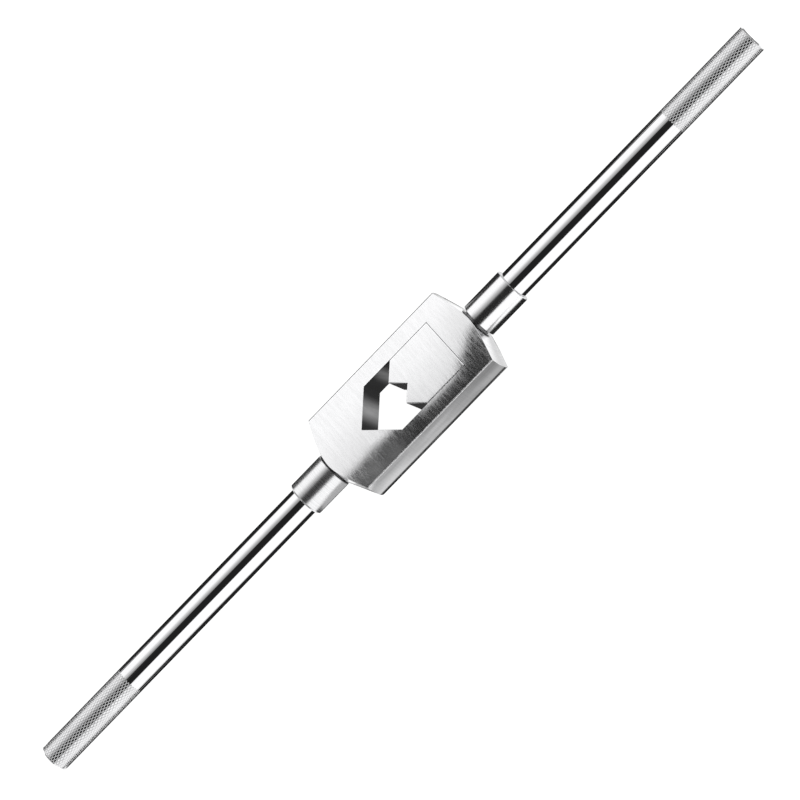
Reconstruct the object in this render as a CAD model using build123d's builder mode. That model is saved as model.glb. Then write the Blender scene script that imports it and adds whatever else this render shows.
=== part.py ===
"""Adjustable tap wrench: a flat-sided turned body with a fixed and a sliding V jaw, and two rod handles.

Frame: +X along the handles towards the one that adjusts the jaw, +Z out of the top flat, and the
origin under the middle of the wrench, on the plane that its lower flat rests on. Sizes are in mm.
"""

import os

from build123d import *

# Overall
OVERALL_LENGTH = 280.0
BODY_CENTRE_X = 3.25  # the fixed handle is the longer one, so the body sits off the middle

# Body: turned bar, coned at both ends, with two flats milled on it
BODY_DIAMETER = 29.0
BODY_THICKNESS = 11.4
FIXED_STRAIGHT_X = 24.3  # from the body's centre to where each cone starts and ends
FIXED_END_X = 28.5
ADJUSTING_STRAIGHT_X = 25.2
ADJUSTING_END_X = 28.0
BODY_END_DIAMETER = 11.0
FLAT_EDGE_CHAMFER = 0.25

# Opening: square-on-corner V at the fixed end, slot for the sliding jaw at the other
V_VERTEX_X = -14.85  # from the body's centre
SLOT_HALF_WIDTH = 8.6
SLOT_END_X = 18.6  # from the body's centre

# Sliding jaw, drawn fully open
JAW_SIDE_CLEARANCE = 0.08
JAW_BACK_CLEARANCE = 0.1
JAW_FACE_INSET = 0.03  # below the body's flats
JAW_TIP_X = -0.6
JAW_TIP_HALF_WIDTH = 4.0
JAW_EDGE_CHAMFER = 0.12

# Adjusting screw
THREAD_DIAMETER = 6.0
THREAD_TIP_X = 4.9
THREAD_END_CHAMFER = 0.5
BORE_BOTTOM_GAP = 0.3
RUNNING_CLEARANCE = 0.05
JOURNAL_DIAMETER = 8.4
GROOVE_DIAMETER = 6.2
GROOVE_X = 23.4
GROOVE_SIDE_CLEARANCE = 0.05

# Collars and rods
COLLAR_DIAMETER = 11.0
COLLAR_CHAMFER = 0.5  # on the fixed collar's outer end
COLLAR_EDGE_BREAK = 0.12  # on every other end
ADJUSTING_COLLAR_GAP = 0.75
ADJUSTING_COLLAR_LENGTH = 13.6
FIXED_COLLAR_GAP = 0.5
FIXED_COLLAR_LENGTH = 11.85
STUD_DIAMETER = 8.0
STUD_DEPTH = 10.0
SOCKET_DIAMETER = 6.5
SOCKET_DEPTH = 9.0
ROD_DIAMETER = 8.75
ROD_END_CHAMFER = 0.45

# Dowel pins, driven in from the underside
PIN_DIAMETER = 2.0
PIN_RECESS = 0.1
PIN_HOLE_RELIEF = 0.15
GROOVE_PIN_TOP = 8.6  # above the underside
FERRULE_PIN_TOP = 7.4  # above the underside
FERRULE_PIN_X = -23.4

AXIS_HEIGHT = BODY_THICKNESS / 2
CENTRE_LINE = Axis((0, 0, AXIS_HEIGHT), (1, 0, 0))
TURNING_PLANE = Plane(origin=(0, 0, AXIS_HEIGHT), x_dir=(1, 0, 0), z_dir=(0, -1, 0))
CROSS_PLANE = Plane(origin=(0, 0, AXIS_HEIGHT), x_dir=(0, 1, 0), z_dir=(1, 0, 0))
V_CORNER_X = V_VERTEX_X + SLOT_HALF_WIDTH
JAW_HALF_WIDTH = SLOT_HALF_WIDTH - JAW_SIDE_CLEARANCE
JAW_SHOULDER_X = JAW_TIP_X + JAW_HALF_WIDTH - JAW_TIP_HALF_WIDTH
JAW_NOTCH_X = JAW_TIP_X + JAW_TIP_HALF_WIDTH
JAW_BACK_X = SLOT_END_X - JAW_BACK_CLEARANCE
STUD_END_X = FIXED_END_X - STUD_DEPTH
PIN_RADIUS = PIN_DIAMETER / 2
GROOVE_PIN_Y = GROOVE_DIAMETER / 2 + RUNNING_CLEARANCE + PIN_RADIUS


def turned_section(outline, side=1):
    """Half-section on the centre line from (distance from the body's centre, radius) points."""
    with BuildSketch(TURNING_PLANE) as section:
        with BuildLine():
            Polyline(*[(BODY_CENTRE_X + side * x, radius) for x, radius in outline], close=True)
        make_face()
    return section.sketch


def collar_outline(inner_x, outer_x, outer_chamfer):
    """Outline of a collar with the rod's socket in its outer end."""
    radius = COLLAR_DIAMETER / 2
    return [
        (inner_x, radius - COLLAR_EDGE_BREAK),
        (inner_x + COLLAR_EDGE_BREAK, radius),
        (outer_x - outer_chamfer, radius),
        (outer_x, radius - outer_chamfer),
        (outer_x, SOCKET_DIAMETER / 2),
        (outer_x - SOCKET_DEPTH, SOCKET_DIAMETER / 2),
        (outer_x - SOCKET_DEPTH, 0),
    ]


def rod_outline(collar_outer_x, end_x):
    """Outline of a rod with a spigot in its collar's socket and a chamfered outer end."""
    radius = ROD_DIAMETER / 2
    spigot_end_x = collar_outer_x - SOCKET_DEPTH
    return [
        (spigot_end_x, 0),
        (spigot_end_x, SOCKET_DIAMETER / 2),
        (collar_outer_x, SOCKET_DIAMETER / 2),
        (collar_outer_x, radius),
        (end_x - ROD_END_CHAMFER, radius),
        (end_x, radius - ROD_END_CHAMFER),
        (end_x, 0),
    ]


adjusting_collar_x = ADJUSTING_END_X + ADJUSTING_COLLAR_GAP
adjusting_rod_x = adjusting_collar_x + ADJUSTING_COLLAR_LENGTH
fixed_collar_x = FIXED_END_X + FIXED_COLLAR_GAP
fixed_rod_x = fixed_collar_x + FIXED_COLLAR_LENGTH
groove_pin_centres = [(BODY_CENTRE_X + GROOVE_X, side * GROOVE_PIN_Y) for side in (-1, 1)]
ferrule_pin_centre = (BODY_CENTRE_X + FERRULE_PIN_X, 0)

# Body block
with BuildPart() as body_block:
    body_outline = [
        (-FIXED_END_X, 0),
        (-FIXED_END_X, BODY_END_DIAMETER / 2),
        (-FIXED_STRAIGHT_X, BODY_DIAMETER / 2),
        (ADJUSTING_STRAIGHT_X, BODY_DIAMETER / 2),
        (ADJUSTING_END_X, BODY_END_DIAMETER / 2),
        (ADJUSTING_END_X, 0),
    ]
    revolve(turned_section(body_outline), axis=CENTRE_LINE)
    with Locations((0, 0, AXIS_HEIGHT)):
        Box(OVERALL_LENGTH, BODY_DIAMETER, BODY_THICKNESS, mode=Mode.INTERSECT)
    chamfer(body_block.edges().filter_by(Axis.X), FLAT_EDGE_CHAMFER)
    # Opening between the V and the slot's end
    with BuildSketch(Plane.XY):
        with BuildLine():
            Polyline(
                (BODY_CENTRE_X + V_VERTEX_X, 0),
                (BODY_CENTRE_X + V_CORNER_X, SLOT_HALF_WIDTH),
                (BODY_CENTRE_X + SLOT_END_X, SLOT_HALF_WIDTH),
                (BODY_CENTRE_X + SLOT_END_X, -SLOT_HALF_WIDTH),
                (BODY_CENTRE_X + V_CORNER_X, -SLOT_HALF_WIDTH),
                close=True,
            )
        make_face()
    extrude(amount=BODY_THICKNESS, mode=Mode.SUBTRACT)
    # Journal bore through one end wall, tapped hole for the stud in the other
    with BuildSketch(CROSS_PLANE.offset(BODY_CENTRE_X + SLOT_END_X)):
        Circle(JOURNAL_DIAMETER / 2 + RUNNING_CLEARANCE)
    extrude(amount=ADJUSTING_END_X - SLOT_END_X, mode=Mode.SUBTRACT)
    with BuildSketch(CROSS_PLANE.offset(BODY_CENTRE_X - FIXED_END_X)):
        Circle(STUD_DIAMETER / 2)
    extrude(amount=STUD_DEPTH, mode=Mode.SUBTRACT)
    # Blind holes for the dowel pins
    with BuildSketch(Plane.XY):
        with Locations(*groove_pin_centres):
            Circle(PIN_RADIUS)
    extrude(amount=GROOVE_PIN_TOP + PIN_HOLE_RELIEF, mode=Mode.SUBTRACT)
    with BuildSketch(Plane.XY):
        with Locations(ferrule_pin_centre):
            Circle(PIN_RADIUS)
    extrude(amount=AXIS_HEIGHT, mode=Mode.SUBTRACT)

# Sliding jaw
with BuildPart() as sliding_jaw:
    with BuildSketch(Plane.XY.offset(JAW_FACE_INSET)):
        with BuildLine():
            Polyline(
                (BODY_CENTRE_X + JAW_NOTCH_X, 0),
                (BODY_CENTRE_X + JAW_TIP_X, JAW_TIP_HALF_WIDTH),
                (BODY_CENTRE_X + JAW_SHOULDER_X, JAW_HALF_WIDTH),
                (BODY_CENTRE_X + JAW_BACK_X, JAW_HALF_WIDTH),
                (BODY_CENTRE_X + JAW_BACK_X, -JAW_HALF_WIDTH),
                (BODY_CENTRE_X + JAW_SHOULDER_X, -JAW_HALF_WIDTH),
                (BODY_CENTRE_X + JAW_TIP_X, -JAW_TIP_HALF_WIDTH),
                close=True,
            )
        make_face()
    extrude(amount=BODY_THICKNESS - 2 * JAW_FACE_INSET)
    jaw_faces = sliding_jaw.faces().filter_by(Axis.Z)
    chamfer(jaw_faces.edges(), JAW_EDGE_CHAMFER)
    # Tapped blind bore for the adjusting screw
    with BuildSketch(CROSS_PLANE.offset(BODY_CENTRE_X + THREAD_TIP_X - BORE_BOTTOM_GAP)):
        Circle(THREAD_DIAMETER / 2)
    extrude(amount=JAW_BACK_X - THREAD_TIP_X + BORE_BOTTOM_GAP, mode=Mode.SUBTRACT)

# Spindle: adjusting screw, journal with its groove, and collar
with BuildPart() as spindle:
    thread_radius = THREAD_DIAMETER / 2 - RUNNING_CLEARANCE
    groove_half_width = PIN_RADIUS + GROOVE_SIDE_CLEARANCE
    spindle_outline = [
        (THREAD_TIP_X, 0),
        (THREAD_TIP_X, thread_radius - THREAD_END_CHAMFER),
        (THREAD_TIP_X + THREAD_END_CHAMFER, thread_radius),
        (SLOT_END_X, thread_radius),
        (SLOT_END_X, JOURNAL_DIAMETER / 2),
        (GROOVE_X - groove_half_width, JOURNAL_DIAMETER / 2),
        (GROOVE_X - groove_half_width, GROOVE_DIAMETER / 2),
        (GROOVE_X + groove_half_width, GROOVE_DIAMETER / 2),
        (GROOVE_X + groove_half_width, JOURNAL_DIAMETER / 2),
        (adjusting_collar_x, JOURNAL_DIAMETER / 2),
        *collar_outline(adjusting_collar_x, adjusting_rod_x, COLLAR_EDGE_BREAK),
    ]
    revolve(turned_section(spindle_outline), axis=CENTRE_LINE)

# Fixed ferrule: stud and collar, with a radial hole for its lock pin
with BuildPart() as fixed_ferrule:
    ferrule_outline = [
        (STUD_END_X, 0),
        (STUD_END_X, STUD_DIAMETER / 2),
        (fixed_collar_x, STUD_DIAMETER / 2),
        *collar_outline(fixed_collar_x, fixed_rod_x, COLLAR_CHAMFER),
    ]
    revolve(turned_section(ferrule_outline, side=-1), axis=CENTRE_LINE)
    with BuildSketch(Plane.XY):
        with Locations(ferrule_pin_centre):
            Circle(PIN_RADIUS)
    extrude(amount=FERRULE_PIN_TOP + PIN_HOLE_RELIEF, mode=Mode.SUBTRACT)

# Handle rods
with BuildPart() as adjusting_rod:
    adjusting_rod_outline = rod_outline(adjusting_rod_x, OVERALL_LENGTH / 2 - BODY_CENTRE_X)
    revolve(turned_section(adjusting_rod_outline), axis=CENTRE_LINE)

with BuildPart() as fixed_rod:
    fixed_rod_outline = rod_outline(fixed_rod_x, OVERALL_LENGTH / 2 + BODY_CENTRE_X)
    revolve(turned_section(fixed_rod_outline, side=-1), axis=CENTRE_LINE)

# Dowel pins
with BuildPart() as front_groove_pin:
    with BuildSketch(Plane.XY.offset(PIN_RECESS)):
        with Locations(groove_pin_centres[0]):
            Circle(PIN_RADIUS)
    extrude(amount=GROOVE_PIN_TOP - PIN_RECESS)

with BuildPart() as rear_groove_pin:
    with BuildSketch(Plane.XY.offset(PIN_RECESS)):
        with Locations(groove_pin_centres[1]):
            Circle(PIN_RADIUS)
    extrude(amount=GROOVE_PIN_TOP - PIN_RECESS)

with BuildPart() as ferrule_pin:
    with BuildSketch(Plane.XY.offset(PIN_RECESS)):
        with Locations(ferrule_pin_centre):
            Circle(PIN_RADIUS)
    extrude(amount=FERRULE_PIN_TOP - PIN_RECESS)

body_block.part.label = "body_block"
sliding_jaw.part.label = "sliding_jaw"
spindle.part.label = "spindle"
adjusting_rod.part.label = "adjusting_rod"
fixed_ferrule.part.label = "fixed_ferrule"
fixed_rod.part.label = "fixed_rod"
front_groove_pin.part.label = "front_groove_pin"
rear_groove_pin.part.label = "rear_groove_pin"
ferrule_pin.part.label = "ferrule_pin"

os.makedirs("parts", exist_ok=True)
export_step(body_block.part, "parts/body_block.step")
export_step(sliding_jaw.part, "parts/sliding_jaw.step")
export_step(spindle.part, "parts/spindle.step")
export_step(adjusting_rod.part, "parts/adjusting_rod.step")
export_step(fixed_ferrule.part, "parts/fixed_ferrule.step")
export_step(fixed_rod.part, "parts/fixed_rod.step")
export_step(front_groove_pin.part, "parts/front_groove_pin.step")
export_step(rear_groove_pin.part, "parts/rear_groove_pin.step")
export_step(ferrule_pin.part, "parts/ferrule_pin.step")
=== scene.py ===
"""Looks of the adjustable tap wrench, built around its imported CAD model. Everything is in metres."""

import math

import bmesh
import bpy
from mathutils import Matrix, Vector


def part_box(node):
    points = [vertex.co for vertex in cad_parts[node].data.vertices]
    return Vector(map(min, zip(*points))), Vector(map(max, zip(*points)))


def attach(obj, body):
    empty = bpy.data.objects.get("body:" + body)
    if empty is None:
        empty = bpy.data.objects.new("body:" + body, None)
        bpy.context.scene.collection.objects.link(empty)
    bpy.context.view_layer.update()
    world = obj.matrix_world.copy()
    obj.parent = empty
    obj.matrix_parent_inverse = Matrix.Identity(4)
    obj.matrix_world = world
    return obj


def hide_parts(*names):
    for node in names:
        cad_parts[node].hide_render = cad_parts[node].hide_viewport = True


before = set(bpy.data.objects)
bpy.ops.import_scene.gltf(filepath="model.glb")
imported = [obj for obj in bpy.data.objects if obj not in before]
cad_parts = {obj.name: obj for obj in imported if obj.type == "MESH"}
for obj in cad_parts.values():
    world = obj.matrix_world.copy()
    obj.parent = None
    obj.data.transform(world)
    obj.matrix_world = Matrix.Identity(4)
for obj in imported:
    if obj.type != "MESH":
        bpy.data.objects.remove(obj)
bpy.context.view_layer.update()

MM = 0.001
DEGREE = math.radians(1)
JAW_BACK_X = 18.5 * MM  # from the body's middle, with the jaw open

# ---------------------------------------------------------------- sizes read from the frame

BODY_LOW, BODY_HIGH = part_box("body_block")
ADJUSTING_ROD_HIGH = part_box("adjusting_rod")[1]
FIXED_ROD_LOW, FIXED_ROD_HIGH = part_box("fixed_rod")
SPINDLE_LOW, SPINDLE_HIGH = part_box("spindle")
FERRULE_LOW, FERRULE_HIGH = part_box("fixed_ferrule")
JAW_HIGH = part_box("sliding_jaw")[1]

AXIS_Z = (FIXED_ROD_LOW[2] + FIXED_ROD_HIGH[2]) / 2
BODY_MIDDLE_X = JAW_HIGH[0] - JAW_BACK_X
BODY_CENTRE = Vector((BODY_MIDDLE_X, 0, AXIS_Z))
ROD_RADIUS = (FIXED_ROD_HIGH[2] - FIXED_ROD_LOW[2]) / 2
COLLAR_RADIUS = (SPINDLE_HIGH[2] - SPINDLE_LOW[2]) / 2

# ---------------------------------------------------------------- turned and knurled detail

SOCKET_DEPTH = 9.0 * MM
SOCKET_RADIUS = 3.25 * MM
FIXED_COLLAR_LENGTH = 11.85 * MM
ADJUSTING_COLLAR_LENGTH = 13.6 * MM
COLLAR_CHAMFER = 0.5 * MM  # on the fixed collar's outer end
COLLAR_EDGE_BREAK = 0.12 * MM
ROD_END_CHAMFER = 0.45 * MM
FACE_EDGE = 0.05 * MM  # tiny break of a turned corner

KNURL_STARTS = 31
KNURL_STEPS = 12  # mesh steps in one diamond, each way
KNURL_PERIOD = 1.7 * MM  # length of one diamond along the rod
KNURL_LENGTH = 31.3 * MM
KNURL_DEPTH = 0.04 * MM
KNURL_GROOVE = 1 / 5  # part of the pitch that a groove takes

THREAD_PITCH = 1.0 * MM
THREAD_STEPS = 12  # mesh steps in one pitch
THREAD_DEPTH = 0.5 * MM
THREAD_RADIUS = 2.95 * MM
THREAD_ROOT_FLAT = 0.1  # part of half a pitch
THREAD_FLANK = 0.75  # part of half a pitch
THREAD_TIP_TAPER = 0.6 * MM
THREAD_RUNOUT = 0.8 * THREAD_PITCH
JOURNAL_RADIUS = 4.2 * MM
GROOVE_RADIUS = 3.1 * MM
SLOT_END_X = 18.6 * MM  # from the body's middle
GROOVE_X = 23.4 * MM
GROOVE_HALF_WIDTH = 1.05 * MM
STUD_RADIUS = 4.0 * MM

ROUND_SEGMENTS = 144
ROUND_CORNER = 28  # degrees; turned pieces look sharp at corners above this

BODY_EDGE = 0.12 * MM  # break of the body's and jaw's sharp corners
BODY_CORNER = 12  # degrees; body and jaw look sharp at corners above this
BROKEN_CORNER = 30 * DEGREE  # corners above this are broken
WELD_DISTANCE = 0.0001 * MM
FLAT_MIN_HEIGHT = 5 * MM  # a flat lies further than this from the axis
OPENING_HALF_WIDTH = 9 * MM  # the opening's walls lie within this
OPENING_HALF_LENGTH = 19 * MM
BORE_WALL = 8.0 * MM  # bores lie deeper than this under the turned surface
FLATS, TURNED, WALLS = 0, 1, 2  # material indexes of the body and the jaw


def add_object(name, mesh, corner=ROUND_CORNER):
    """A new object at the origin, smooth except at corners sharper than the given degrees."""
    mesh.shade_smooth()
    mesh.set_sharp_from_angle(angle=math.radians(corner))
    piece = bpy.data.objects.new(name, mesh)
    bpy.context.scene.collection.objects.link(piece)
    return piece


def turned(name, rings, segments, material_of_ring=None):
    """A closed turned piece from rings of (x, radius), where radius may be a function of the angle.

    Quads are split along the diagonal that follows the relief, so grooves keep clean edges.
    """
    mesh = bmesh.new()
    rows = []
    for x, radius in rings:
        row = []
        for k in range(segments):
            angle = 2 * math.pi * k / segments
            r = radius(angle) if callable(radius) else radius
            row.append(mesh.verts.new((x, r * math.cos(angle), AXIS_Z + r * math.sin(angle))))
        rows.append(row)
    axis = Vector((0, 0, AXIS_Z))

    def distance(vert):
        return math.hypot(vert.co.y - axis.y, vert.co.z - axis.z)

    for index, (left, right) in enumerate(zip(rows, rows[1:])):
        relief = callable(rings[index][1]) and callable(rings[index + 1][1])
        slot = material_of_ring(rings[index][0], rings[index + 1][0]) if material_of_ring else 0
        for k in range(segments):
            a, b = left[k], left[(k + 1) % segments]
            d, c = right[k], right[(k + 1) % segments]
            if relief:
                if abs(distance(a) - distance(c)) <= abs(distance(b) - distance(d)):
                    corners = ((a, b, c), (a, c, d))
                else:
                    corners = ((a, b, d), (b, c, d))
            else:
                corners = ((a, b, c, d),)
            for loop in corners:
                mesh.faces.new(loop).material_index = slot
    mesh.faces.new(rows[0])
    mesh.faces.new(rows[-1])
    bmesh.ops.recalc_face_normals(mesh, faces=mesh.faces)
    data = bpy.data.meshes.new(name)
    mesh.to_mesh(data)
    mesh.free()
    return add_object(name, data)


def groove(phase):
    """Depth share of a V groove with a flat land between grooves, at a phase counted in pitches."""
    off_centre = abs(phase - round(phase))
    return max(0.0, 1 - off_centre / (KNURL_GROOVE / 2))


def knurled_radius(along):
    """Radius at an angle, at a distance along the knurl, cut by two crossing sets of grooves."""
    turns = along / KNURL_PERIOD

    def radius(angle):
        around = KNURL_STARTS * angle / (2 * math.pi)
        cut = max(groove(around + turns), groove(around - turns))
        return ROD_RADIUS - KNURL_DEPTH * cut

    return radius


def handle_rod(name, collar_x, end_x):
    """Rod from its spigot in the collar to its chamfered end, with the outer stretch knurled."""
    out = 1 if end_x > collar_x else -1
    step = KNURL_PERIOD / KNURL_STEPS
    knurl_end = end_x - out * ROD_END_CHAMFER
    count = round(KNURL_LENGTH / step)
    rings = [
        (collar_x - out * SOCKET_DEPTH, SOCKET_RADIUS),
        (collar_x, SOCKET_RADIUS),
        (collar_x, ROD_RADIUS - FACE_EDGE),
        (collar_x + out * FACE_EDGE, ROD_RADIUS),
        (knurl_end - out * (count * step + FACE_EDGE), ROD_RADIUS),
    ]
    for k in range(count + 1):
        rings.append((knurl_end - out * (count - k) * step, knurled_radius(k * step)))
    rings.append((end_x, ROD_RADIUS - ROD_END_CHAMFER - KNURL_DEPTH / 2))
    knurl_start_x = knurl_end - out * count * step

    def region(x_a, x_b):
        """1 on the knurl and the end chamfer, 0 on the plain rod."""
        return 1 if out * ((x_a + x_b) / 2 - knurl_start_x) > 0 else 0

    return turned(name, rings, KNURL_STARTS * KNURL_STEPS, region)


def collar_rings(face_x, outer_x, outer_chamfer):
    """Rings of a collar whose inner face is at face_x, ending in the rod's socket."""
    out = 1 if outer_x > face_x else -1
    return [
        (face_x, COLLAR_RADIUS - COLLAR_EDGE_BREAK),
        (face_x + out * COLLAR_EDGE_BREAK, COLLAR_RADIUS),
        (outer_x - out * outer_chamfer, COLLAR_RADIUS),
        (outer_x, COLLAR_RADIUS - outer_chamfer),
        (outer_x, SOCKET_RADIUS),
        (outer_x - out * SOCKET_DEPTH, SOCKET_RADIUS),
    ]


def thread_radius(x, tip_x):
    """Left-hand thread: radius at an angle, at a place along the screw, tapering at the tip."""

    def radius(angle):
        phase = x / THREAD_PITCH + angle / (2 * math.pi)
        ridge = 1 - 2 * abs(phase - round(phase))
        crest = min(1.0, max(0.0, (ridge - THREAD_ROOT_FLAT) / THREAD_FLANK))
        full = THREAD_RADIUS - THREAD_DEPTH * (1 - crest)
        return min(full, THREAD_RADIUS - THREAD_TIP_TAPER + (x - tip_x))

    return radius


def make_spindle():
    """Adjusting screw, journal with its groove, and collar, in one piece."""
    tip_x = SPINDLE_LOW[0]
    outer_x = SPINDLE_HIGH[0]
    collar_x = outer_x - ADJUSTING_COLLAR_LENGTH
    slot_end_x = BODY_MIDDLE_X + SLOT_END_X
    groove_x = BODY_MIDDLE_X + GROOVE_X
    root_radius = THREAD_RADIUS - THREAD_DEPTH
    step = THREAD_PITCH / THREAD_STEPS
    count = int((slot_end_x - THREAD_PITCH - tip_x) / step)
    rings = []
    for k in range(count + 1):
        rings.append((tip_x + k * step, thread_radius(tip_x + k * step, tip_x)))
    rings += [
        (slot_end_x - THREAD_RUNOUT, root_radius),
        (slot_end_x, root_radius),
        (slot_end_x, JOURNAL_RADIUS),
        (groove_x - GROOVE_HALF_WIDTH, JOURNAL_RADIUS),
        (groove_x - GROOVE_HALF_WIDTH, GROOVE_RADIUS),
        (groove_x + GROOVE_HALF_WIDTH, GROOVE_RADIUS),
        (groove_x + GROOVE_HALF_WIDTH, JOURNAL_RADIUS),
        (collar_x, JOURNAL_RADIUS),
        *collar_rings(collar_x, outer_x, COLLAR_EDGE_BREAK),
    ]

    def region(x_a, x_b):
        """0 on the collar, 1 on everything inside the body."""
        return 1 if max(x_a, x_b) <= collar_x else 0

    return turned("spindle_turned", rings, ROUND_SEGMENTS, region)


def make_ferrule():
    """Stud and collar of the fixed handle."""
    outer_x = FERRULE_LOW[0]
    collar_x = outer_x + FIXED_COLLAR_LENGTH
    rings = [
        (FERRULE_HIGH[0], STUD_RADIUS),
        (collar_x, STUD_RADIUS),
        *collar_rings(collar_x, outer_x, COLLAR_CHAMFER),
    ]

    def region(x_a, x_b):
        """0 on the collar, 1 on the stud."""
        return 1 if min(x_a, x_b) >= collar_x else 0

    return turned("ferrule_turned", rings, ROUND_SEGMENTS, region)


# ---------------------------------------------------------------- body and jaw

def machined(name, node):
    """A copy of a CAD node with its sharp outer corners broken.

    Faces are marked as flats, as turned surfaces, or as walls, which are upright ones and bores.
    """
    mesh = bmesh.new()
    mesh.from_mesh(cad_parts[node].data)
    bmesh.ops.remove_doubles(mesh, verts=mesh.verts, dist=WELD_DISTANCE)
    edges = [edge for edge in mesh.edges
             if edge.is_manifold and edge.is_convex and edge.calc_face_angle(0) > BROKEN_CORNER]
    bmesh.ops.bevel(mesh, geom=edges, offset=BODY_EDGE, segments=1, affect="EDGES", clamp_overlap=True)
    bore_radius = (BODY_HIGH[1] - BODY_LOW[1]) / 2 - BORE_WALL
    for face in mesh.faces:
        middle = face.calc_center_median()
        from_axis = math.hypot(middle.y, middle.z - AXIS_Z)
        in_opening = (abs(middle.y) < OPENING_HALF_WIDTH
                      and abs(middle.x - BODY_MIDDLE_X) < OPENING_HALF_LENGTH)
        if abs(face.normal.z) > 0.7 and abs(middle.z - AXIS_Z) > FLAT_MIN_HEIGHT:
            face.material_index = FLATS
        elif abs(face.normal.z) < 0.02 and in_opening:
            face.material_index = WALLS
        elif from_axis < bore_radius and abs(face.normal.x) < 0.5:
            face.material_index = WALLS
        else:
            face.material_index = TURNED
    data = bpy.data.meshes.new(name)
    mesh.to_mesh(data)
    mesh.free()
    return add_object(name, data, corner=BODY_CORNER)


# ---------------------------------------------------------------- materials

class Nodes:
    """Short calls for building a node tree."""

    def __init__(self, tree):
        self.tree = tree
        tree.nodes.clear()

    def add(self, kind, **settings):
        node = self.tree.nodes.new(kind)
        for key, value in settings.items():
            setattr(node, key, value)
        return node

    def link(self, source, target):
        self.tree.links.new(source, target)

    def put(self, socket, value):
        """Sets a socket from a number or links it from another socket."""
        if isinstance(value, bpy.types.NodeSocket):
            self.link(value, socket)
        else:
            socket.default_value = value

    def math(self, operation, a, b=0.0, c=0.0):
        node = self.add("ShaderNodeMath", operation=operation)
        for socket, value in zip(node.inputs, (a, b, c)):
            self.put(socket, value)
        return node.outputs[0]

    def remap(self, value, low, high, to_low, to_high):
        """Smooth step of a value from one range to another."""
        node = self.add("ShaderNodeMapRange", interpolation_type="SMOOTHSTEP")
        for name, number in (("From Min", low), ("From Max", high),
                             ("To Min", to_low), ("To Max", to_high)):
            self.put(node.inputs[name], number)
        self.put(node.inputs["Value"], value)
        return node.outputs["Result"]

    def noise(self, scale, detail=3.0, roughness=0.5):
        """Noise in the piece's own frame, with a scale along X, Y and Z in cells to the metre."""
        place = self.add("ShaderNodeTexCoord")
        mapping = self.add("ShaderNodeMapping")
        mapping.inputs["Scale"].default_value = scale
        self.link(place.outputs["Object"], mapping.inputs["Vector"])
        node = self.add("ShaderNodeTexNoise")
        node.inputs["Scale"].default_value = 1.0
        node.inputs["Detail"].default_value = detail
        node.inputs["Roughness"].default_value = roughness
        self.link(mapping.outputs["Vector"], node.inputs["Vector"])
        return node.outputs["Fac"]

    def grey(self, value, tint=(1.0, 1.0, 1.0)):
        """A colour from a brightness, faintly tinted."""
        node = self.add("ShaderNodeCombineColor")
        for socket, share in zip(node.inputs, tint):
            self.put(socket, self.math("MULTIPLY", value, share))
        return node.outputs[0]

    def bump(self, height, distance):
        node = self.add("ShaderNodeBump")
        node.inputs["Distance"].default_value = distance
        node.inputs["Strength"].default_value = 1.0
        self.link(height, node.inputs["Height"])
        return node.outputs["Normal"]


TINT = (1.0, 1.0, 1.01)  # bare steel is faintly blue
STREAK_RANGE = (0.3, 0.7)  # where most of a noise's values lie


def metal(name, brightness, roughness, streaks, bump_height, anisotropic=0.0):
    """Bare metal; streaks(nodes) gives what varies its brightness, roughness and surface."""
    material = bpy.data.materials.new(name)
    material.use_nodes = True
    nodes = Nodes(material.node_tree)
    shader = nodes.add("ShaderNodeBsdfPrincipled")
    shader.inputs["Metallic"].default_value = 1.0
    shader.inputs["Anisotropic"].default_value = anisotropic
    shader.inputs["Anisotropic Rotation"].default_value = 0.25
    field = streaks(nodes)
    bright = nodes.remap(field, *STREAK_RANGE, *brightness)
    rough = nodes.remap(field, *STREAK_RANGE, roughness[1], roughness[0])
    nodes.link(nodes.grey(bright, TINT), shader.inputs["Base Color"])
    nodes.link(rough, shader.inputs["Roughness"])
    nodes.link(nodes.bump(field, bump_height), shader.inputs["Normal"])
    if anisotropic:
        tangent = nodes.add("ShaderNodeTangent", direction_type="RADIAL", axis="X")
        nodes.link(tangent.outputs["Tangent"], shader.inputs["Tangent"])
    output = nodes.add("ShaderNodeOutputMaterial")
    nodes.link(shader.outputs["BSDF"], output.inputs["Surface"])
    return material


def brushed_streaks(nodes):
    """Short fine lines across the wrench, with a few longer ones."""
    fine = nodes.noise((2300.0, 330.0, 330.0), detail=3.0, roughness=0.6)
    broad = nodes.noise((1100.0, 60.0, 60.0), detail=2.0)
    return nodes.math("MULTIPLY_ADD", fine, 0.6, nodes.math("MULTIPLY", broad, 0.4))


def turning_lines(nodes):
    """Lines round the axis, as a lathe tool leaves them."""
    return nodes.noise((5200.0, 6.0, 6.0), detail=3.0)


def milling_haze(nodes):
    """Soft upright marks on a milled wall."""
    return nodes.noise((500.0, 500.0, 90.0), detail=2.0)


def polish_haze(nodes):
    """Faint cloudiness of polished metal."""
    return nodes.noise((160.0, 260.0, 260.0), detail=4.0)


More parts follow.
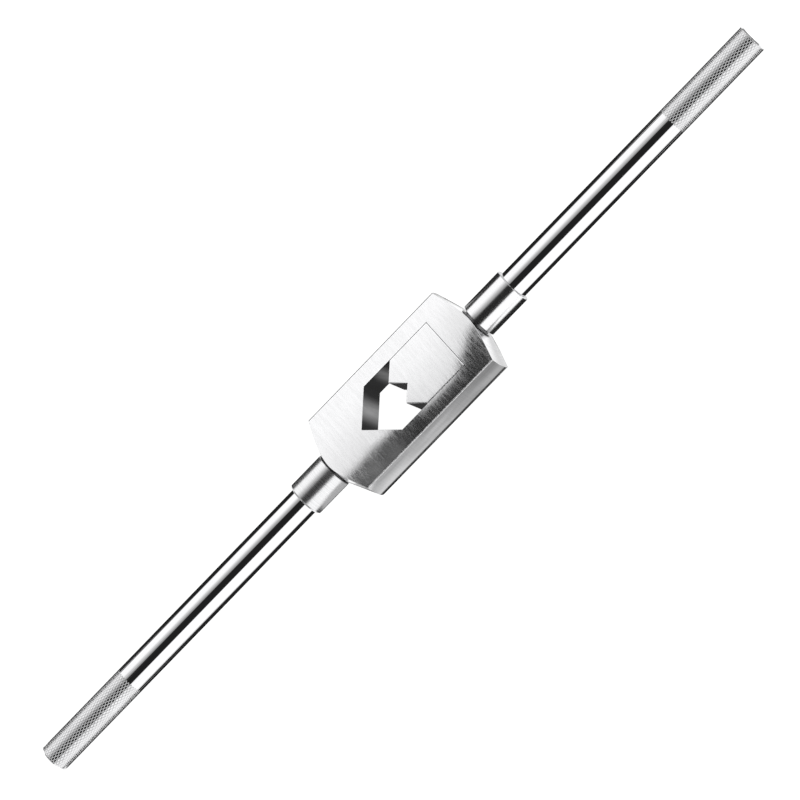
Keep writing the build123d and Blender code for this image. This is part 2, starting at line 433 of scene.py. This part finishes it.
BRUSHED_FLAT = metal("brushed_flat", (0.88, 0.96), (0.1, 0.24), brushed_streaks,
                     0.03 * MM, anisotropic=0.6)
TURNED_SIDE = metal("turned_side", (0.62, 0.7), (0.14, 0.24), turning_lines,
                    0.003 * MM, anisotropic=0.5)
MILLED_WALL = metal("milled_wall", (0.42, 0.5), (0.06, 0.12), milling_haze, 0.001 * MM)
SPINDLE_COLLAR = metal("spindle_collar", (0.66, 0.7), (0.17, 0.22), turning_lines,
                       0.002 * MM, anisotropic=0.3)
FERRULE_COLLAR = metal("ferrule_collar", (0.6, 0.72), (0.24, 0.36), turning_lines,
                       0.004 * MM, anisotropic=0.4)
# Painted shade: steel darkened as if in shadow, for the screw, journal, groove and stud inside the
# body and in the necks between the body and the collars.
SHADED_INNER_STEEL = metal("shaded_inner_steel", (0.16, 0.22), (0.3, 0.42), turning_lines, 0.002 * MM)
POLISHED_ROD = metal("polished_rod", (0.66, 0.69), (0.04, 0.08), polish_haze, 0.0004 * MM)
KNURLED_ROD = metal("knurled_rod", (0.57, 0.62), (0.1, 0.16), polish_haze, 0.0008 * MM)
PIN_STEEL = metal("pin_steel", (0.4, 0.5), (0.25, 0.4), polish_haze, 0.002 * MM)


def paint(piece, *materials):
    """Gives a piece these materials, in the order of its faces' indexes."""
    slots = piece.data.materials
    while len(slots) < len(materials):
        slots.append(None)
    for index, material in enumerate(materials):
        slots[index] = material


# ---------------------------------------------------------------- pieces

def place(piece, body, node, slot, *materials):
    """Rides a built piece on its body in place of its CAD node."""
    paint(piece, *materials)
    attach(piece, body)
    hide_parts(node)


place(handle_rod("adjusting_rod_knurled", SPINDLE_HIGH[0], ADJUSTING_ROD_HIGH[0]),
      "adjuster", "adjusting_rod", "polished_rod", POLISHED_ROD, KNURLED_ROD)
place(handle_rod("fixed_rod_knurled", FERRULE_LOW[0], FIXED_ROD_LOW[0]),
      "frame", "fixed_rod", "polished_rod", POLISHED_ROD, KNURLED_ROD)
# The spindle's and ferrule's parts inside the body take the steel with painted shade.
place(make_spindle(), "adjuster", "spindle", "turned_steel", SPINDLE_COLLAR, SHADED_INNER_STEEL)
place(make_ferrule(), "frame", "fixed_ferrule", "turned_steel", FERRULE_COLLAR, SHADED_INNER_STEEL)
place(machined("body_machined", "body_block"), "frame", "body_block", "brushed_body",
      BRUSHED_FLAT, TURNED_SIDE, MILLED_WALL)
place(machined("jaw_machined", "sliding_jaw"), "jaw", "sliding_jaw", "brushed_body",
      BRUSHED_FLAT, TURNED_SIDE, MILLED_WALL)
for node in ("front_groove_pin", "rear_groove_pin", "ferrule_pin"):
    paint(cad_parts[node], PIN_STEEL)

# ---------------------------------------------------------------- camera

CAMERA_AZIMUTH = 23.25 * DEGREE
CAMERA_ELEVATION = 65.0 * DEGREE
CAMERA_ROLL = -67.17 * DEGREE
CAMERA_DISTANCE = 1.65
VIEW_WIDTH = 219.5 * MM  # at the wrench
VIEW_SHIFT = (-1.85 * MM, -1.35 * MM)  # middle of the view from the body's centre, right and up

back = Vector((
    math.sin(CAMERA_AZIMUTH) * math.cos(CAMERA_ELEVATION),
    -math.cos(CAMERA_AZIMUTH) * math.cos(CAMERA_ELEVATION),
    math.sin(CAMERA_ELEVATION),
))
level = Vector((math.cos(CAMERA_AZIMUTH), math.sin(CAMERA_AZIMUTH), 0))
right = Matrix.Rotation(CAMERA_ROLL, 3, back) @ level
up = back.cross(right)
aim = BODY_CENTRE + VIEW_SHIFT[0] * right + VIEW_SHIFT[1] * up
camera = bpy.data.objects.new("camera", bpy.data.cameras.new("camera"))
camera.data.sensor_width = 36.0
camera.data.lens = camera.data.sensor_width * CAMERA_DISTANCE / VIEW_WIDTH
camera.data.clip_end = 100.0
camera.matrix_world = Matrix.Translation(aim + CAMERA_DISTANCE * back) @ Matrix(
    (right, up, back)).transposed().to_4x4()
bpy.context.scene.collection.objects.link(camera)
bpy.context.scene.camera = camera

# ---------------------------------------------------------------- floor, card and light

FLOOR_SIZE = 30.0
FLOOR_DROP = 0.05 * MM
FLOOR_GLOW = 0.8  # share of the floor's light that is its own
TENT_WHITE = 1.5
TENT_BLACK = 0.02
CARD_HEIGHT = 31.0 * MM
JUST_BELOW = 1 * MM  # how deep the shallow patches lie, and how soft their edges are
OPENING_DARK_DEPTH = 41 * MM
OPENING_LIGHT_DEPTH = 40 * MM
OPENING_LIGHT_TURN = -23 * DEGREE


def flat_sheet(name, low, high, z):
    """A level rectangle between two corners, about its own middle."""
    middle = Vector(((low[0] + high[0]) / 2, (low[1] + high[1]) / 2, z))
    half_x, half_y = (high[0] - low[0]) / 2, (high[1] - low[1]) / 2
    mesh = bpy.data.meshes.new(name)
    corners = [(-half_x, -half_y, 0), (half_x, -half_y, 0), (half_x, half_y, 0), (-half_x, half_y, 0)]
    mesh.from_pydata(corners, [], [(0, 1, 2, 3)])
    sheet = bpy.data.objects.new(name, mesh)
    sheet.location = middle
    bpy.context.scene.collection.objects.link(sheet)
    return sheet


def stage_material(sheet, build):
    """Gives a stage sheet a new material whose surface build(nodes) returns."""
    material = bpy.data.materials.new(sheet.name)
    material.use_nodes = True
    nodes = Nodes(material.node_tree)
    output = nodes.add("ShaderNodeOutputMaterial")
    nodes.link(build(nodes), output.inputs["Surface"])
    sheet.data.materials.append(material)


def mix_shaders(nodes, share, first, second):
    """First shader where share is 0, second where it is 1."""
    mix = nodes.add("ShaderNodeMixShader")
    nodes.put(mix.inputs["Fac"], share)
    nodes.link(first, mix.inputs[1])
    nodes.link(second, mix.inputs[2])
    return mix.outputs[0]


def emission(nodes, strength):
    node = nodes.add("ShaderNodeEmission")
    nodes.put(node.inputs["Strength"], strength)
    return node.outputs[0]


def sheet_place(nodes):
    """X and Y on a stage sheet, from its middle, in metres."""
    coordinates = nodes.add("ShaderNodeTexCoord")
    split = nodes.add("ShaderNodeSeparateXYZ")
    nodes.link(coordinates.outputs["Object"], split.inputs[0])
    return split.outputs["X"], split.outputs["Y"]


def only_reflected(sheet):
    """Shows a stage sheet in reflections alone."""
    sheet.visible_camera = False
    sheet.visible_diffuse = False
    sheet.visible_shadow = False
    sheet.visible_transmission = False
    sheet.visible_volume_scatter = False


def make_floor():
    """Pale floor, lit like a light table, so that shadows on it stay faint."""
    half = FLOOR_SIZE / 2
    floor = flat_sheet("floor", (-half, -half), (half, half), -FLOOR_DROP)

    def surface(nodes):
        diffuse = nodes.add("ShaderNodeBsdfDiffuse")
        diffuse.inputs["Color"].default_value = (0.9, 0.9, 0.9, 1)
        lit = mix_shaders(nodes, FLOOR_GLOW, diffuse.outputs[0], emission(nodes, 1.25))
        through = nodes.add("ShaderNodeBsdfTransparent")
        from_below = nodes.add("ShaderNodeNewGeometry").outputs["Backfacing"]
        return mix_shaders(nodes, from_below, lit, through.outputs[0])

    stage_material(floor, surface)
    floor.visible_glossy = False


def make_dark_card():
    """Dark card over the near edge of the body, with a soft, slightly bowed far edge."""
    half_x, half_y = 33 * MM, 17 * MM
    card = flat_sheet("dark_card", (BODY_MIDDLE_X - half_x, -half_y),
                      (BODY_MIDDLE_X + half_x, half_y), CARD_HEIGHT)

    def surface(nodes):
        x, y = sheet_place(nodes)
        along_jaw = nodes.math("MULTIPLY", nodes.remap(x, -6 * MM, -1 * MM, 0.0, 1.0),
                               nodes.remap(x, 12 * MM, 16 * MM, 1.0, 0.0))
        rise = nodes.remap(x, 14 * MM, 25 * MM, 0.0, 5.0 * MM)
        edge = nodes.math("MULTIPLY_ADD", along_jaw, -2.7 * MM, nodes.math("ADD", rise, 1.9 * MM))
        wobble = nodes.noise((120.0, 40.0, 1.0), detail=2.0)
        edge = nodes.math("MULTIPLY_ADD", nodes.math("SUBTRACT", wobble, 0.5), 3 * MM, edge)
        past = nodes.math("SUBTRACT", y, edge)
        clear = nodes.math("ADD", nodes.remap(past, -1.2 * MM, 1.2 * MM, 0.0, 0.8),
                           nodes.remap(past, 0.0, 16 * MM, 0.0, 0.2))
        clear = nodes.math("MAXIMUM", clear, nodes.remap(x, 24 * MM, 27 * MM, 0.0, 1.0))
        through = nodes.add("ShaderNodeBsdfTransparent")
        streaks = nodes.remap(nodes.noise((800.0, 150.0, 1.0), detail=2.0), 0.35, 0.65, 0.4, 1.6)
        glow = nodes.math("MULTIPLY", streaks, nodes.remap(x, -21 * MM, -6 * MM, 0.11, 0.025))
        return mix_shaders(nodes, clear, emission(nodes, glow), through.outputs[0])

    stage_material(card, surface)
    only_reflected(card)


def make_patch(name, low, high, depth, brightness, softness, turn=0.0):
    """Soft-edged patch below the floor, seen only in reflections.

    brightness(nodes, x, y) gives its light.
    """
    patch = flat_sheet(name, low, high, -depth)
    patch.rotation_euler.z = turn
    half_x, half_y = (high[0] - low[0]) / 2, (high[1] - low[1]) / 2

    def surface(nodes):
        x, y = sheet_place(nodes)
        in_x = nodes.remap(nodes.math("ABSOLUTE", x), half_x - softness, half_x, 1.0, 0.0)
        in_y = nodes.remap(nodes.math("ABSOLUTE", y), half_y - softness, half_y, 1.0, 0.0)
        through = nodes.add("ShaderNodeBsdfTransparent")
        return mix_shaders(nodes, nodes.math("MULTIPLY", in_x, in_y), through.outputs[0],
                           emission(nodes, brightness(nodes, x, y)))

    stage_material(patch, surface)
    only_reflected(patch)


def make_side_patches():
    """Grey light beside the body, fading away from it and towards the adjusting handle."""
    reach = 60 * MM
    for side in (-1, 1):
        near, far = side * (BODY_HIGH[1] + 0.5 * MM), side * (BODY_HIGH[1] + reach)

        def brightness(nodes, x, y, side=side):
            away = nodes.math("MULTIPLY_ADD", y, side, reach / 2)
            fade = nodes.remap(away, 0.0, 34 * MM, 0.8, 0.42)
            cloud = nodes.remap(nodes.noise((60.0, 90.0, 1.0), detail=2.0), 0.35, 0.65, 0.85, 1.15)
            fade = nodes.math("MULTIPLY", fade, cloud)
            return nodes.math("MULTIPLY", fade, nodes.remap(x, -14 * MM, 20 * MM, 1.0, 0.65))

        make_patch(f"side_patch_{side}", (BODY_LOW[0], min(near, far)),
                   (BODY_HIGH[0], max(near, far)), JUST_BELOW, brightness, JUST_BELOW)


def make_collar_patch():
    """Grey light beside the fixed handle's collar."""
    collar_x = FERRULE_LOW[0] + FIXED_COLLAR_LENGTH
    make_patch("collar_patch", (FERRULE_LOW[0], -COLLAR_RADIUS - 36 * MM),
               (collar_x, -COLLAR_RADIUS), JUST_BELOW, lambda nodes, x, y: 0.6, JUST_BELOW)


def make_end_patches():
    """Bright light beyond the ends of both handles."""
    reach = 25 * MM
    for name, low_x in (("adjusting", ADJUSTING_ROD_HIGH[0]), ("fixed", FIXED_ROD_LOW[0] - reach)):
        make_patch(f"{name}_end_patch", (low_x, -10 * MM), (low_x + reach, 14 * MM), JUST_BELOW,
                   lambda nodes, x, y: 1.7, JUST_BELOW)


def make_opening_patches():
    """Darkness far under the opening, with one soft light for the V's wall and one for the slot's."""
    half_x, half_y = 26 * MM, 19 * MM
    make_patch("opening_dark", (BODY_MIDDLE_X - half_x, -half_y), (BODY_MIDDLE_X + half_x, half_y),
               OPENING_DARK_DEPTH, lambda nodes, x, y: 0.05, 1 * MM)
    for name, centre_x, centre_y, half_x, half_y, level in (
        ("v_light", 8.8 * MM, -4.3 * MM, 16 * MM, 4.2 * MM, 0.55),
        ("slot_light", -9.0 * MM, -11.0 * MM, 2.6 * MM, 5.0 * MM, 0.3),
    ):
        middle_x = BODY_MIDDLE_X + centre_x
        make_patch(name, (middle_x - half_x, centre_y - half_y),
                   (middle_x + half_x, centre_y + half_y), OPENING_LIGHT_DEPTH,
                   lambda nodes, x, y, level=level: level, min(half_x, half_y), OPENING_LIGHT_TURN)


def make_studio():
    """White tent with a dark strip above the wrench, along it, and darkness below the horizon."""
    world = bpy.data.worlds.new("studio")
    bpy.context.scene.world = world
    world.use_nodes = True
    nodes = Nodes(world.node_tree)
    direction = nodes.add("ShaderNodeTexCoord")
    split = nodes.add("ShaderNodeSeparateXYZ")
    nodes.link(direction.outputs["Generated"], split.inputs[0])
    x, y, z = split.outputs
    strip = Vector((0, back.y, back.z)).normalized()
    along = nodes.math("MULTIPLY_ADD", y, strip.y, nodes.math("MULTIPLY", z, strip.z))
    across = nodes.math("MULTIPLY_ADD", y, strip.z, nodes.math("MULTIPLY", z, -strip.y))
    angle = nodes.math("ARCTAN2", across, along)  # towards +Y from the strip's middle
    near_light = nodes.remap(angle, -25 * DEGREE, -21 * DEGREE, TENT_WHITE, 0.0)
    far_light = nodes.math("ADD", nodes.remap(angle, 21 * DEGREE, 29 * DEGREE, 0.0, 0.5),
                           nodes.remap(angle, 29 * DEGREE, 63 * DEGREE, 0.0, TENT_WHITE - 0.55))
    low = nodes.remap(nodes.math("ABSOLUTE", angle), 96 * DEGREE, 106 * DEGREE, 0.0, 1.0)
    off_line = nodes.math("ABSOLUTE", nodes.math("ADD", x, back.x))
    under = nodes.math("MULTIPLY", low, nodes.remap(off_line, 0.16, 0.3, 1.0, 0.0))
    deep = nodes.remap(z, -0.9, -0.8, 0.4, 0.0)
    dimmed = nodes.math("SUBTRACT", 1.0, nodes.math("MAXIMUM", under, deep))
    bright = nodes.math("MULTIPLY", nodes.math("MAXIMUM", near_light, far_light), dimmed)
    away = nodes.math("MULTIPLY", nodes.remap(off_line, 0.3, 0.5, 0.0, 1.0),
                      nodes.remap(z, -0.6, -0.45, 0.0, 1.0))
    dusk = nodes.remap(z, -0.5, 0.9, 0.35, 1.15)
    cap = nodes.math("MULTIPLY_ADD", away, nodes.math("SUBTRACT", dusk, TENT_WHITE), TENT_WHITE)
    level_light = nodes.math("ADD", nodes.math("MINIMUM", bright, cap), TENT_BLACK)
    shine = nodes.add("ShaderNodeBackground")
    nodes.link(nodes.grey(level_light), shine.inputs["Color"])
    plain = nodes.add("ShaderNodeBackground")
    plain.inputs["Color"].default_value = (1, 1, 1, 1)
    path = nodes.add("ShaderNodeLightPath")
    output = nodes.add("ShaderNodeOutputWorld")
    seen = mix_shaders(nodes, path.outputs["Is Camera Ray"], shine.outputs[0], plain.outputs[0])
    nodes.link(seen, output.inputs["Surface"])


make_floor()
make_dark_card()
make_side_patches()
make_collar_patch()
make_end_patches()
make_opening_patches()
make_studio()
bpy.context.scene.view_settings.view_transform = "Standard"
